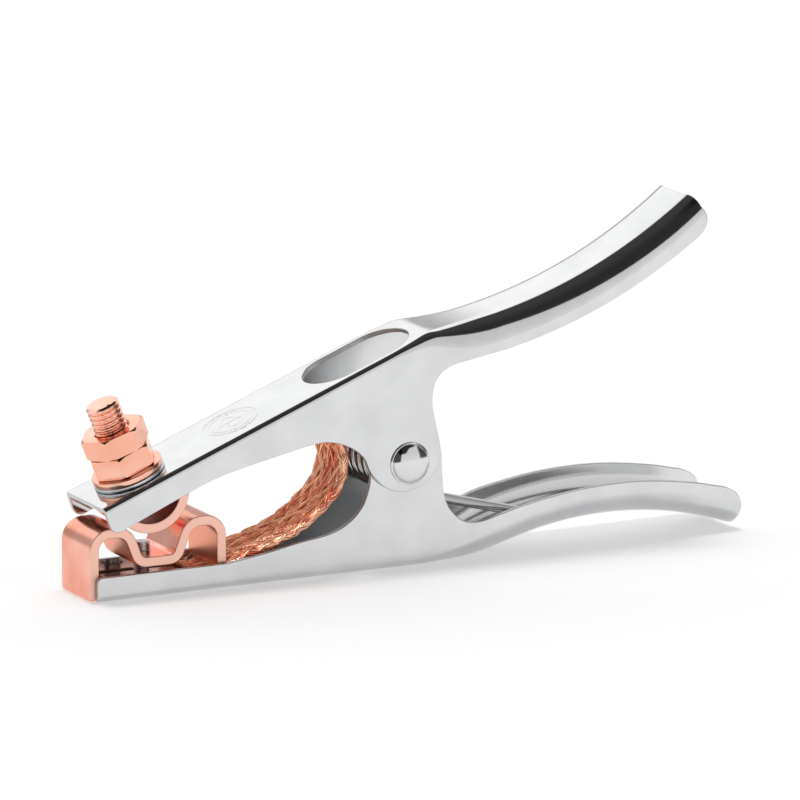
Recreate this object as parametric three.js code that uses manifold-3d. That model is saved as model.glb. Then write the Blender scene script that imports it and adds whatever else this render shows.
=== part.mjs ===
// Spring-closed ground clamp for arc welding: two folded steel arms on one rivet, two bent copper
// jaws, a copper braid that joins them, and a threaded terminal for the cable lug.
// Millimetres, +Z up, +X from the jaws to the handles, Y across. Outlines are drawn about the pivot
// axis; ORIGIN_SHIFT then puts the origin under the middle of the whole clamp.
import * as THREE from "three";
import { mergeVertices } from "three/addons/utils/BufferGeometryUtils.js";
import Module from "manifold-3d";

const wasm = await Module();
wasm.setup();

const DEG = Math.PI / 180;
const ORIGIN_SHIFT = -4.75;

// ---- driving dimensions -------------------------------------------------------------------
const GAP = 0.3; // clearance between pieces that touch in the real clamp
const TOUCH = 0.15; // the same between the hardware stacked on the stud
const THROUGH = 60; // width of cutters that pass right through the clamp
const PIVOT_Z = 31.4;
const SHEET = 1.5; // steel sheet of both arms

const UPPER_HALF_WIDTH = 13.4; // upper channel, straddles the lower one
const LOWER_HALF_WIDTH = 11.6;
const HANDLE_HALF_WIDTH = 14;
const JAW_BEND = 1.8; // outer radius of the long bends beside the jaws
const HANDLE_BEND = 8; // the same bends where they open out into the grips

const UPPER_NOSE = { x: -98.4, z: 27.85 };
const UPPER_SLOPE = 21.35 * DEG;
const UPPER_GRIP_DEPTH = 9.9;
const LOWER_NOSE_X = -101.2;

const COPPER = 2.9; // copper strip of both jaws
const JAW_WIDTH = 19.6;
const BRAID = { width: 19, thick: 3.4 };
const LUG_WIDTH = 17;

const TERMINAL_AT = 15.6; // from the nose, along the upper web
const STUD_RADIUS = 4.8;
const STUD_TOP = 24.2; // above the upper web
const BORE_RADIUS = STUD_RADIUS + GAP;
const NUT = { across: 17, high: 6.2, chamfer: 0.9 };
const WASHER_RADIUS = 10.7;
const STEEL_WASHER = 1.1;
const COPPER_WASHER = 1.7;
const TERMINAL_HEAD = { radius: 6.2, thick: 2.6 };
const LUG_UPPER = { from: 7.5, to: 30.2, thick: 1.4 };

const SCREW = { x: -80.2, radius: 2.5, top: 14, headRadius: 4.6, headHigh: 2.1 };
const LUG_LOWER = { from: -90, to: -66, thick: 1.6 };

const RIVET = { shank: 4, head: 6.3, dome: 3 };
const SLEEVE = { outer: 6.1, half: 9.7 };
const SPRING = { radius: 9, wire: 1.55, pitch: 4.1, lowerHeading: -15, upperHeading: 42 };

const STEEL_LOOK = { color: 0xd4d7da, roughness: 0.16, metalness: 1 };
const COPPER_LOOK = { color: 0xd98a63, roughness: 0.24, metalness: 1 };

const group = new THREE.Group();
group.name = "ground_clamp";

// ---- small tools --------------------------------------------------------------------------
// A closed three.js geometry as a solid that booleans can use.
function solid(geometry) {
  const bare = geometry.index ? geometry.toNonIndexed() : geometry.clone();
  bare.deleteAttribute("normal");
  bare.deleteAttribute("uv");
  const merged = mergeVertices(bare, 1e-4);
  const mesh = new wasm.Mesh({
    numProp: 3,
    vertProperties: merged.attributes.position.array,
    triVerts: new Uint32Array(merged.index.array),
  });
  return new wasm.Manifold(mesh);
}

function geometryOf(body) {
  const mesh = body.getMesh();
  const geometry = new THREE.BufferGeometry();
  geometry.setAttribute("position", new THREE.BufferAttribute(mesh.vertProperties, 3));
  geometry.setIndex(new THREE.BufferAttribute(mesh.triVerts, 1));
  return geometry;
}

// Adds one named piece. The flat-shaded copy keeps folded edges crisp.
function addPiece(name, shape, look) {
  const geometry = shape.isBufferGeometry ? shape : geometryOf(shape);
  geometry.deleteAttribute("uv");
  geometry.translate(ORIGIN_SHIFT, 0, 0);
  const flat = geometry.index ? geometry.toNonIndexed() : geometry;
  flat.computeVertexNormals();
  const mesh = new THREE.Mesh(flat, new THREE.MeshStandardMaterial(look));
  mesh.name = name;
  group.add(mesh);
}

// Points along a path of straight lines and arcs, each with its heading.
// A move is { line: length } or { arc: radius, turn: degrees }; a positive turn goes left.
function trace(x, z, headingDegrees, moves, stepDegrees = 9, stepLine = 1e9) {
  let heading = headingDegrees * DEG;
  const stations = [{ x, z, heading }];
  const go = (length, turn, parts) => {
    for (let i = 0; i < parts; i++) {
      const middle = heading + turn / 2;
      const chord = turn ? 2 * (length / turn) * Math.sin(turn / 2) : length;
      x += chord * Math.cos(middle);
      z += chord * Math.sin(middle);
      heading += turn;
      stations.push({ x, z, heading });
    }
  };
  for (const move of moves) {
    if (move.line) {
      const parts = Math.max(1, Math.round(move.line / stepLine));
      go(move.line / parts, 0, parts);
    } else {
      const parts = Math.max(1, Math.ceil(Math.abs(move.turn) / stepDegrees));
      const turn = (move.turn * DEG) / parts;
      go(move.arc * Math.abs(turn), turn, parts);
    }
  }
  return stations;
}

// A flat outline in X and Z, made solid across Y.
function plate(shape, width, curveSegments = 3) {
  const geometry = new THREE.ExtrudeGeometry(shape, { depth: width, bevelEnabled: false, curveSegments });
  geometry.rotateX(Math.PI / 2);
  geometry.translate(0, width / 2, 0);
  return geometry;
}

// Point at a right angle to a station's heading, on its lower side.
function below(s, depth) {
  return new THREE.Vector2(
    s.x + depth * Math.sin(s.heading),
    s.z - depth * Math.cos(s.heading),
  );
}

// Strip of even thickness that follows the stations, laid across Y.
function ribbon(stations, thickness, width) {
  const one = stations.map((s) => below(s, thickness / 2));
  const other = stations.map((s) => below(s, -thickness / 2));
  const outline = one.concat(other.reverse());
  return plate(new THREE.Shape(outline), width);
}

// Cylinder or cone about its own Z, standing on z = 0.
function round(radiusLow, radiusHigh, height, segments = 32) {
  const geometry = new THREE.CylinderGeometry(radiusHigh, radiusLow, height, segments);
  geometry.rotateX(Math.PI / 2);
  geometry.translate(0, 0, height / 2);
  return geometry;
}

// Turns a piece drawn about Z into the upper arm's own frame: X along the web from the nose,
// Z out of the web's top face.
function onUpperWeb(geometry, along, above) {
  geometry.translate(along, 0, above);
  geometry.rotateY(-UPPER_SLOPE);
  geometry.translate(UPPER_NOSE.x, 0, UPPER_NOSE.z);
  return geometry;
}

function upperPoint(along, above) {
  return new THREE.Vector2(
    UPPER_NOSE.x + along * Math.cos(UPPER_SLOPE) - above * Math.sin(UPPER_SLOPE),
    UPPER_NOSE.z + along * Math.sin(UPPER_SLOPE) + above * Math.cos(UPPER_SLOPE),
  );
}

const smooth = (x, from, to) => THREE.MathUtils.smoothstep(x, from, to);

// ---- folded arms --------------------------------------------------------------------------
// Crown lines: middle of the web's outer face, from nose to grip end. They run on past the grips,
// and the side outlines cut them to length.
const crownOfUpper = (gripTurn) =>
  trace(
    UPPER_NOSE.x,
    UPPER_NOSE.z,
    UPPER_SLOPE / DEG,
    [{ line: 111.6 }, { arc: 14, turn: -17.2 }, { arc: 158, turn: gripTurn }],
    4.3,
    28,
  );
const UPPER_CROWN = crownOfUpper(38);
const UPPER_GRIP_END = crownOfUpper(33.4).pop();
const LOWER_CROWN = trace(
  LOWER_NOSE_X - 4,
  0,
  0,
  [{ line: 121.5 }, { arc: 53, turn: 17.7 }, { arc: 118, turn: -41.7 }],
  4.5,
  30,
);

// A size that changes smoothly from one value to another between two places along X.
const eased = (low, high, from, to) => (x) => low + (high - low) * smooth(x, from, to);
const upperHalfWidth = eased(UPPER_HALF_WIDTH, HANDLE_HALF_WIDTH, 4, 32);
const lowerHalfWidth = eased(LOWER_HALF_WIDTH, HANDLE_HALF_WIDTH, 13, 38);
const upperBend = eased(JAW_BEND, HANDLE_BEND, -6, 26);
const lowerBend = eased(JAW_BEND, HANDLE_BEND, 4, 34);

// Solid block under (side = -1) or over (side = 1) a crown line, with rounded long edges.
// inset shrinks it on every side, so that taking it away leaves a folded sheet.
function channelBlock(crown, side, halfWidth, bend, reach, inset) {
  const cornerParts = 4;
  const sections = crown.map((s) => {
    const w = halfWidth(s.x) - inset;
    const r = Math.max(bend(s.x) - inset, 0.6);
    const top = s.z + (side * inset) / Math.cos(s.heading);
    const row = [new THREE.Vector3(s.x, -w, reach)];
    for (let i = 0; i <= cornerParts; i++) {
      const a = (i / cornerParts) * (Math.PI / 2);
      row.push(new THREE.Vector3(s.x, -w + r * (1 - Math.cos(a)), top + side * r * (1 - Math.sin(a))));
    }
    const other = row.map((p) => new THREE.Vector3(p.x, -p.y, p.z)).reverse();
    return row.concat(other);
  });
  return loft(sections, side > 0);
}

// Closed skin through rows of points, with a fan over each end row.
function loft(sections, flip) {
  const count = sections[0].length;
  const positions = sections.flat().flatMap((p) => [p.x, p.y, p.z]);
  const faces = [];
  const face = (a, b, c) => faces.push(...(flip ? [a, c, b] : [a, b, c]));
  for (let i = 0; i + 1 < sections.length; i++) {
    for (let j = 0; j < count; j++) {
      const a = i * count + j;
      const b = i * count + ((j + 1) % count);
      face(a, a + count, b);
      face(b, a + count, b + count);
    }
  }
  const last = (sections.length - 1) * count;
  for (let j = 1; j + 1 < count; j++) {
    face(0, j, j + 1);
    face(last, last + j + 1, last + j);
  }
  const geometry = new THREE.BufferGeometry();
  geometry.setAttribute("position", new THREE.Float32BufferAttribute(positions, 3));
  geometry.setIndex(faces);
  return geometry;
}

function foldedSheet(crown, side, halfWidth, bend, reach, outline) {
  const outer = solid(channelBlock(crown, side, halfWidth, bend, reach, 0));
  const inner = solid(channelBlock(crown, side, halfWidth, bend, reach + 5 * side, SHEET));
  const trim = solid(plate(outline, THROUGH));
  return outer.subtract(inner).intersect(trim);
}

// Hole through both cheeks, about the pivot axis.
function pivotHole(radius) {
  const geometry = new THREE.CylinderGeometry(radius, radius, THROUGH, 32);
  geometry.translate(0, 0, PIVOT_Z);
  return solid(geometry);
}

const points = (pairs) => pairs.map(([x, z]) => new THREE.Vector2(x, z));

// Side view of the upper arm: nose, shallow flange, cheek round the pivot, neck, grip.
function upperOutline() {
  const roof = 130;
  const noseCorner = 3.2;
  const flange = 8.6;
  const end = UPPER_GRIP_END;
  const endCorner = below(end, UPPER_GRIP_DEPTH);
  const endBack = 6.5;
  const shape = new THREE.Shape();
  const start = upperPoint(0, 20);
  shape.moveTo(start.x, roof);
  shape.lineTo(start.x, start.y);
  const noseLow = upperPoint(0, noseCorner - flange);
  const corner = upperPoint(0, -flange);
  const flangeStart = upperPoint(noseCorner, -flange);
  shape.lineTo(noseLow.x, noseLow.y);
  shape.quadraticCurveTo(corner.x, corner.y, flangeStart.x, flangeStart.y);
  const flangeEnd = upperPoint(31, -7.75);
  shape.lineTo(flangeEnd.x, flangeEnd.y);
  shape.splineThru(
    points([
      [-58.8, 34.4],
      [-45, 37.4],
      [-31.8, 40],
      [-25.5, 40.1],
      [-19.4, 38],
      [-14.9, 34.4],
      [-12.3, 29.2],
      [-7.2, 24.5],
      [-1, 23],
      [5, 24.8],
      [9, 29],
      [10.2, 34.5],
      [8.6, 42.4],
      [7.5, 49],
      [8.8, 55.2],
      [13, 58.8],
      [20, 60.4],
      [31, 62.3],
    ]),
  );
  const gripEdge = UPPER_CROWN.filter((s) => s.x > 38 && s.x < end.x - 9);
  for (const s of gripEdge) {
    const p = below(s, UPPER_GRIP_DEPTH);
    shape.lineTo(p.x, p.y);
  }
  const gripEnd = new THREE.Vector2(
    endCorner.x - endBack * Math.cos(end.heading),
    endCorner.y - endBack * Math.sin(end.heading),
  );
  const gripUp = below(end, UPPER_GRIP_DEPTH - endBack);
  const above = below(end, -12);
  shape.lineTo(gripEnd.x, gripEnd.y);
  shape.quadraticCurveTo(endCorner.x, endCorner.y, gripUp.x, gripUp.y);
  shape.lineTo(above.x, above.y);
  shape.lineTo(above.x, roof);
  return shape;
}

// Side view of the lower arm: flat sole, low flange under the jaw, lobe round the pivot, grip.
function lowerOutline() {
  const floor = -12;
  const flangeTop = 7.3;
  const flangeFront = -99.5;
  const shape = new THREE.Shape();
  shape.moveTo(flangeFront, floor);
  shape.lineTo(109.4, floor);
  shape.lineTo(109.4, 0.5);
  shape.lineTo(110.7, 7);
  shape.quadraticCurveTo(110.4, 12.4, 102.8, 13.9);
  shape.splineThru(
    points([
      [94.4, 15.8],
      [82, 17.6],
      [70.7, 18.3],
      [57.8, 17.9],
      [47, 16.6],
      [36, 14.6],
      [29, 12.7],
      [23.4, 11.2],
      [18.6, 11.8],
      [14.4, 15.6],
      [12.4, 20],
      [11.7, 26.4],
      [11.5, PIVOT_Z],
    ]),
  );
  shape.absarc(0, PIVOT_Z, 11.5, 0, Math.PI, false);
  shape.splineThru(
    points([
      [-12.2, 25.4],
      [-14.6, 19.4],
      [-19.2, 15],
      [-25.5, 12.4],
      [-35.5, 10.9],
      [-46, 9],
      [-58.2, flangeTop],
    ]),
  );
  shape.lineTo(flangeFront + 1.5, flangeTop);
  shape.quadraticCurveTo(flangeFront, flangeTop, flangeFront, flangeTop - 1.5);
  shape.lineTo(flangeFront, floor);
  return shape;
}

function upperArm() {
  const slotHalf = 10.3;
  const slotFrom = 76.5;
  const slotTo = 111;
  let arm = foldedSheet(UPPER_CROWN, -1, upperHalfWidth, upperBend, -10, upperOutline());
  const slot = new THREE.Shape();
  slot.absarc(slotTo - slotHalf, 0, slotHalf, -Math.PI / 2, Math.PI / 2, false);
  slot.absarc(slotFrom + slotHalf, 0, slotHalf, Math.PI / 2, (3 * Math.PI) / 2, false);
  const slotCut = new THREE.ExtrudeGeometry(slot, { depth: 8, bevelEnabled: false, curveSegments: 12 });
  arm = arm.subtract(solid(onUpperWeb(slotCut, 0, -4)));
  arm = arm.subtract(solid(onUpperWeb(round(BORE_RADIUS + 0.2, BORE_RADIUS + 0.2, 8), TERMINAL_AT, -4)));
  return arm.subtract(pivotHole(RIVET.shank + GAP));
}

function lowerArm() {
  const soleFront = LOWER_NOSE_X + COPPER + GAP; // the sole stops behind the jaw's front leg
  let arm = foldedSheet(LOWER_CROWN, 1, lowerHalfWidth, lowerBend, 60, lowerOutline());
  const sink = round(SCREW.headRadius + GAP, SCREW.radius + GAP, SCREW.headHigh + 0.1, 28);
  sink.translate(SCREW.x, 0, -0.05);
  arm = arm.subtract(solid(sink));
  const step = new THREE.BoxGeometry(8, JAW_WIDTH + 2 * GAP, 6);
  step.translate(soleFront - 4, 0, 0);
  arm = arm.subtract(solid(step));
  return arm.subtract(pivotHole(RIVET.shank + GAP));
}

// ---- copper jaws --------------------------------------------------------------------------
// Lower jaw: front leg down past the sole's edge, arch, valley for the screw, taller arch,
// hanging rear leg.
function lowerJaw() {
  const legEnd = 0.2;
  const archStart = 14.6;
  const stations = trace(LOWER_NOSE_X + COPPER / 2, legEnd, 90, [
    { line: archStart - legEnd },
    { arc: 5.05, turn: -90 },
    { line: 2.2 },
    { arc: 5.05, turn: -69 },
    { line: 4.53 },
    { arc: 3.4, turn: 69 },
    { line: 7.2 },
    { arc: 3.4, turn: 69 },
    { line: 5.3 },
    { arc: 5.15, turn: -69 },
    { line: 1.6 },
    { arc: 5.15, turn: -90 },
    { line: 8.7 },
  ]);
  const hole = round(SCREW.radius + GAP, SCREW.radius + GAP, 20, 24);
  hole.translate(SCREW.x, 0, 0);
  return solid(ribbon(stations, COPPER, JAW_WIDTH)).subtract(solid(hole));
}

// Upper jaw: top plate under the web, tight front corner, half-round belly, end behind the plate.
function upperJaw() {
  const plateMiddle = -(SHEET + GAP + LUG_UPPER.thick + GAP + COPPER / 2);
  const stations = trace(25.2, plateMiddle, 180, [
    { line: 15.5 },
    { arc: 2.6, turn: 118.6 },
    { arc: 10.65, turn: 151.4 },
  ]);
  const body = solid(onUpperWeb(ribbon(stations, COPPER, JAW_WIDTH), 0, 0));
  const hole = onUpperWeb(round(BORE_RADIUS, BORE_RADIUS, 9, 28), TERMINAL_AT, -9);
  return body.subtract(solid(hole));
}

// ---- current path -------------------------------------------------------------------------
function braidStations() {
  const lower = new THREE.Vector2(LUG_LOWER.to + GAP, SHEET + GAP + 1.7);
  const upperEnd = -(SHEET + GAP + BRAID.thick / 2);
  const upper = upperPoint(LUG_UPPER.to + GAP, upperEnd);
  const nearUpper = upperPoint(LUG_UPPER.to + 8, upperEnd);
  const middle = points([
    [-61.5, 3.6],
    [-57, 5],
    [-51, 8],
    [-43.5, 10.2],
    [-34.5, 13.6],
    [-26.5, 19],
    [-20.4, 25.6],
    [-18.5, 32.5],
    [-20.9, 40.4],
    [-28.5, 45.8],
    [-38.5, 46.2],
    [-50, 42.6],
  ]);
  const route = [lower, ...middle, nearUpper, upper].map((p) => new THREE.Vector3(p.x, p.y, 0));
  const curve = new THREE.CatmullRomCurve3(route, false, "centripetal");
  const parts = 44;
  return curve.getSpacedPoints(parts).map((p, i) => {
    const t = curve.getTangentAt(i / parts);
    return { x: p.x, z: p.y, heading: Math.atan2(t.y, t.x) };
  });
}

// Flat pressed end of the braid, drilled for its screw, standing on z = 0.
function lugPlate({ from, to, thick }, at, holeLow, holeHigh) {
  const corner = 2;
  const width = LUG_WIDTH;
  const shape = new THREE.Shape();
  shape.moveTo(from + corner, -width / 2);
  shape.lineTo(to, -width / 2);
  shape.lineTo(to, width / 2);
  shape.lineTo(from + corner, width / 2);
  shape.quadraticCurveTo(from, width / 2, from, width / 2 - corner);
  shape.lineTo(from, corner - width / 2);
  shape.quadraticCurveTo(from, -width / 2, from + corner, -width / 2);
  const body = new THREE.ExtrudeGeometry(shape, { depth: thick, bevelEnabled: false, curveSegments: 5 });
  const hole = round(holeLow, holeHigh, thick + 0.2, 28);
  hole.translate(at, 0, -0.1);
  return geometryOf(solid(body).subtract(solid(hole)));
}

function lowerLug() {
  const stand = SHEET + GAP;
  const taper = (SCREW.headRadius - SCREW.radius) / SCREW.headHigh;
  const coneAt = (z) => SCREW.headRadius + GAP - taper * z;
  const high = Math.max(coneAt(stand + LUG_LOWER.thick), SCREW.radius + GAP);
  const lug = lugPlate(LUG_LOWER, SCREW.x, coneAt(stand), high);
  lug.translate(0, 0, stand);
  return lug;
}

function upperLug() {
  const lug = lugPlate(LUG_UPPER, TERMINAL_AT, BORE_RADIUS, BORE_RADIUS);
  return onUpperWeb(lug, 0, -(SHEET + GAP + LUG_UPPER.thick));
}

// ---- fasteners ----------------------------------------------------------------------------
function lathe(profile, segments = 28) {
  const geometry = new THREE.LatheGeometry(points(profile), segments);
  geometry.rotateX(Math.PI / 2);
  return geometry;
}

function jawScrew() {
  const tip = 0.5;
  return lathe(
    [
      [0, 0],
      [SCREW.headRadius, 0],
      [SCREW.radius, SCREW.headHigh],
      [SCREW.radius, SCREW.top - tip],
      [SCREW.radius - tip, SCREW.top],
      [0, SCREW.top],
    ],
    28,
  ).translate(SCREW.x, 0, 0.05);
}

function terminalBolt() {
  const headTop = -(SHEET + GAP + LUG_UPPER.thick + GAP + COPPER + GAP);
  const tip = 1;
  const profile = [
    [0, headTop - TERMINAL_HEAD.thick],
    [TERMINAL_HEAD.radius - 0.6, headTop - TERMINAL_HEAD.thick],
    [TERMINAL_HEAD.radius, headTop - TERMINAL_HEAD.thick + 0.6],
    [TERMINAL_HEAD.radius, headTop],
    [STUD_RADIUS, headTop],
    [STUD_RADIUS, STUD_TOP - tip],
    [STUD_RADIUS - tip, STUD_TOP],
    [0, STUD_TOP],
  ];
  return onUpperWeb(lathe(profile), TERMINAL_AT, 0);
}

function washer(radius, thick, above) {
  const edge = 0.2;
  const profile = [
    [BORE_RADIUS, 0],
    [radius - edge, 0],
    [radius, edge],
    [radius, thick - edge],
    [radius - edge, thick],
    [BORE_RADIUS, thick],
    [BORE_RADIUS, 0],
  ];
  return onUpperWeb(lathe(profile, 32), TERMINAL_AT, above);
}

// Hexagon nut with both faces chamfered, turned about its axis by the given angle.
function hexNut(above, turnDegrees) {
  const corner = NUT.across / Math.sqrt(3);
  const hexagon = round(corner - 0.02, corner - 0.02, NUT.high, 6);
  hexagon.rotateZ(turnDegrees * DEG);
  const drop = NUT.chamfer * Math.tan(30 * DEG);
  const barrel = lathe(
    [
      [0, 0],
      [corner - NUT.chamfer, 0],
      [corner, drop],
      [corner, NUT.high - drop],
      [corner - NUT.chamfer, NUT.high],
      [0, NUT.high],
    ],
    36,
  );
  const bore = round(BORE_RADIUS, BORE_RADIUS, NUT.high + 2, 28);
  bore.translate(0, 0, -1);
  const nut = geometryOf(solid(hexagon).intersect(solid(barrel)).subtract(solid(bore)));
  return onUpperWeb(nut, TERMINAL_AT, above);
}

// Rivet along Y with a domed head outside each cheek.
function pivotRivet() {
  const seat = UPPER_HALF_WIDTH + 0.15;
  const domeParts = 4;
  const half = [];
  for (let i = 0; i <= domeParts; i++) {
    const a = (i / domeParts) * (Math.PI / 2);
    half.push([RIVET.head * Math.sin(a), seat + RIVET.dome * Math.cos(a)]);
  }
  half.push([RIVET.shank, seat]);
  const mirrored = half.map(([r, y]) => [r, -y]);
  const profile = mirrored.concat(half.reverse());
  const geometry = new THREE.LatheGeometry(points(profile), 32);
  geometry.translate(0, 0, PIVOT_Z);
  return geometry;
}

function pivotSleeve() {
  const inner = RIVET.shank + GAP;
  const profile = [
    [inner, -SLEEVE.half],
    [SLEEVE.outer, -SLEEVE.half],
    [SLEEVE.outer, SLEEVE.half],
    [inner, SLEEVE.half],
    [inner, -SLEEVE.half],
  ];
  const geometry = new THREE.LatheGeometry(points(profile), 32);
  geometry.translate(0, 0, PIVOT_Z);
  return geometry;
}

// Torsion spring: lower leg, coil round the sleeve, upper leg bent along the grip.
function torsionSpring() {
  const { radius, wire, pitch, lowerHeading, upperHeading } = SPRING;
  const startAngle = lowerHeading - 90;
  const wind = 3 * 360 + (startAngle - (upperHeading + 90) + 360);
  const halfCoil = ((wind / 360) * pitch) / 2;
  const lowerLeg = 48;
  const upperLeg = 42;
  const at = (angle) => [radius * Math.cos(angle * DEG), PIVOT_Z + radius * Math.sin(angle * DEG)];
  const route = [];
  const [lx, lz] = at(startAngle);
  for (const reach of [lowerLeg, lowerLeg * 0.55, 8, 3]) {
    const x = lx + reach * Math.cos(lowerHeading * DEG);
    route.push(new THREE.Vector3(x, -halfCoil, lz + reach * Math.sin(lowerHeading * DEG)));
  }
  const coilSteps = Math.round(wind / 22.5);
  for (let i = 0; i <= coilSteps; i++) {
    const [x, z] = at(startAngle - (wind * i) / coilSteps);
    route.push(new THREE.Vector3(x, halfCoil * ((2 * i) / coilSteps - 1), z));
  }
  const [ux, uz] = at(upperHeading + 90);
  for (const reach of [3, 8, upperLeg * 0.6, upperLeg]) {
    const x = ux + reach * Math.cos(upperHeading * DEG);
    route.push(new THREE.Vector3(x, halfCoil, uz + reach * Math.sin(upperHeading * DEG)));
  }
  route.push(new THREE.Vector3(29.5, halfCoil, 67.6), new THREE.Vector3(37, halfCoil, 69.4));
  const section = new THREE.Shape();
  section.absarc(0, 0, wire, 0, 2 * Math.PI, false);
  const path = new THREE.CatmullRomCurve3(route, false, "centripetal");
  return new THREE.ExtrudeGeometry(section, {
    steps: 92,
    bevelEnabled: false,
    extrudePath: path,
    curveSegments: 4,
  });
}

// ---- assembly -----------------------------------------------------------------------------
const steelWasherAt = TOUCH;
const copperWasherAt = steelWasherAt + STEEL_WASHER + TOUCH;
const clampNutAt = copperWasherAt + COPPER_WASHER + TOUCH;
const terminalNutAt = clampNutAt + NUT.high + TOUCH;

addPiece("lower_arm", lowerArm(), STEEL_LOOK);
addPiece("upper_arm", upperArm(), STEEL_LOOK);
addPiece("pivot_rivet", pivotRivet(), STEEL_LOOK);
addPiece("pivot_sleeve", pivotSleeve(), STEEL_LOOK);
addPiece("torsion_spring", torsionSpring(), { color: 0x8d9094, roughness: 0.3, metalness: 1 });
addPiece("lower_jaw", lowerJaw(), COPPER_LOOK);
addPiece("upper_jaw", upperJaw(), COPPER_LOOK);
addPiece("copper_braid", ribbon(braidStations(), BRAID.thick, BRAID.width), COPPER_LOOK);
addPiece("braid_lug_lower", lowerLug(), COPPER_LOOK);
addPiece("braid_lug_upper", upperLug(), COPPER_LOOK);
addPiece("jaw_screw", jawScrew(), STEEL_LOOK);
addPiece("terminal_bolt", terminalBolt(), COPPER_LOOK);
addPiece("steel_washer", washer(WASHER_RADIUS, STEEL_WASHER, steelWasherAt), STEEL_LOOK);
addPiece("copper_washer", washer(WASHER_RADIUS - 0.1, COPPER_WASHER, copperWasherAt), COPPER_LOOK);
addPiece("clamp_nut", hexNut(clampNutAt, 34), COPPER_LOOK);
addPiece("terminal_nut", hexNut(terminalNutAt, 21), COPPER_LOOK);

export default group;
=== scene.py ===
import math

import bmesh
import bpy
import numpy as np
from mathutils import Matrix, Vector
from mathutils.geometry import delaunay_2d_cdt


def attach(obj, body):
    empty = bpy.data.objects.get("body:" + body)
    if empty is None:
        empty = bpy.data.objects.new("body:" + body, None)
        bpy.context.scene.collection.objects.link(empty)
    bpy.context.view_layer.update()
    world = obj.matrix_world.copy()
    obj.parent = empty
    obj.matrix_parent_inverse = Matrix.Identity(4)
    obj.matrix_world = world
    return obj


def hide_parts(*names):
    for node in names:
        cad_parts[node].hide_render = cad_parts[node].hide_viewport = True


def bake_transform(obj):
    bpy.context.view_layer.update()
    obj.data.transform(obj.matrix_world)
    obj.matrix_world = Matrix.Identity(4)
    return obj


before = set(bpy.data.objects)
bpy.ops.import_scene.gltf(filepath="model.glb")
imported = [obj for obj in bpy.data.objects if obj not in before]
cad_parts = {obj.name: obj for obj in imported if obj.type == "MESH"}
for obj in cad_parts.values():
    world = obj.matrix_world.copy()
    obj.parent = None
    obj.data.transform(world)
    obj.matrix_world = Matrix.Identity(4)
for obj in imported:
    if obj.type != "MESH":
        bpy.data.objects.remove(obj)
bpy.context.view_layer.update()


MM = 0.001
SHIFT = -4.75
DEG = math.pi / 180

# ---- sizes shared with the CAD ----
PIVOT_Z = 31.4
SHEET = 1.5
UPPER_HALF = 13.4
LOWER_HALF = 11.6
HANDLE_HALF = 14.0
JAW_BEND = 1.8
HANDLE_BEND = 8.0
NOSE = (-98.4, 27.85)
SLOPE = 21.35 * DEG
GRIP_DEPTH = 9.9
LOWER_NOSE_X = -101.2
COPPER = 2.9
JAW_WIDTH = 19.6
BRAID_WIDTH = 19.0
BRAID_THICK = 3.4
LUG_WIDTH = 17.0
TERMINAL_AT = 15.6
STUD_TOP = 24.2
NUT_ACROSS = 17.0
NUT_HIGH = 6.2
SCREW_X = -80.2
SCREW_HEAD = 4.6
SCREW_SHANK = 2.5
SCREW_TOP = 14.05
LUG_THICK = 1.4
GAP = 0.3  # clearance between neighbouring pieces
EDGE = 0.3  # rounding of sheet edges
RIM_PARTS = 4  # steps round each of the two corners of an edge
SHAKE = 0.002  # keeps the triangulation from meeting four points on one circle
RIVET_BORE = 4.3
STUD_BORE = 5.1


# ---- curves ----
def trace(x, z, heading, moves, step_line=1.0, step_turn=1.5):
    """Stations (x, z, heading in radians) along lines ("line", length) and arcs ("arc", radius, degrees)."""
    h = heading * DEG
    out = [(x, z, h)]
    for move in moves:
        if move[0] == "line":
            parts, turn, length = max(1, round(move[1] / step_line)), 0.0, move[1]
        else:
            parts = max(1, math.ceil(abs(move[2]) / step_turn))
            turn, length = move[2] * DEG, move[1] * abs(move[2]) * DEG
        for _ in range(parts):
            t, step = turn / parts, length / parts
            chord = 2 * (step / t) * math.sin(t / 2) if t else step
            x += chord * math.cos(h + t / 2)
            z += chord * math.sin(h + t / 2)
            h += t
            out.append((x, z, h))
    return np.array(out)


def catmull(points, per_span, centripetal=False):
    """Catmull-Rom spline through the points, sampled per_span times between neighbours."""
    p = np.array(points, float)
    p = np.vstack([2 * p[0] - p[1], p, 2 * p[-1] - p[-2]])
    out = []
    for i in range(1, len(p) - 2):
        p0, p1, p2, p3 = p[i - 1 : i + 3]
        power = 0.5 if centripetal else 0.0
        d1, d2, d3 = (max(np.linalg.norm(b - a), 1e-6) ** power for a, b in ((p0, p1), (p1, p2), (p2, p3)))
        m1 = d2 * ((p1 - p0) / d1 - (p2 - p0) / (d1 + d2) + (p2 - p1) / d2)
        m2 = d2 * ((p2 - p1) / d2 - (p3 - p1) / (d2 + d3) + (p3 - p2) / d3)
        for k in range(per_span):
            t = k / per_span
            out.append(
                (2 * t**3 - 3 * t**2 + 1) * p1
                + (t**3 - 2 * t**2 + t) * m1
                + (3 * t**2 - 2 * t**3) * p2
                + (t**3 - t**2) * m2
            )
    out.append(p[-2])
    return np.array(out)


def quadratic(a, c, b, parts=8):
    a, b, c = (np.array(v, float) for v in (a, b, c))
    t = np.linspace(0, 1, parts + 1)[:, None]
    return (1 - t) ** 2 * a + 2 * t * (1 - t) * c + t**2 * b


def arc(cx, cz, r, from_deg, to_deg, parts=32):
    a = np.linspace(from_deg * DEG, to_deg * DEG, parts + 1)
    return np.stack([cx + r * np.cos(a), cz + r * np.sin(a)], 1)


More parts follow.
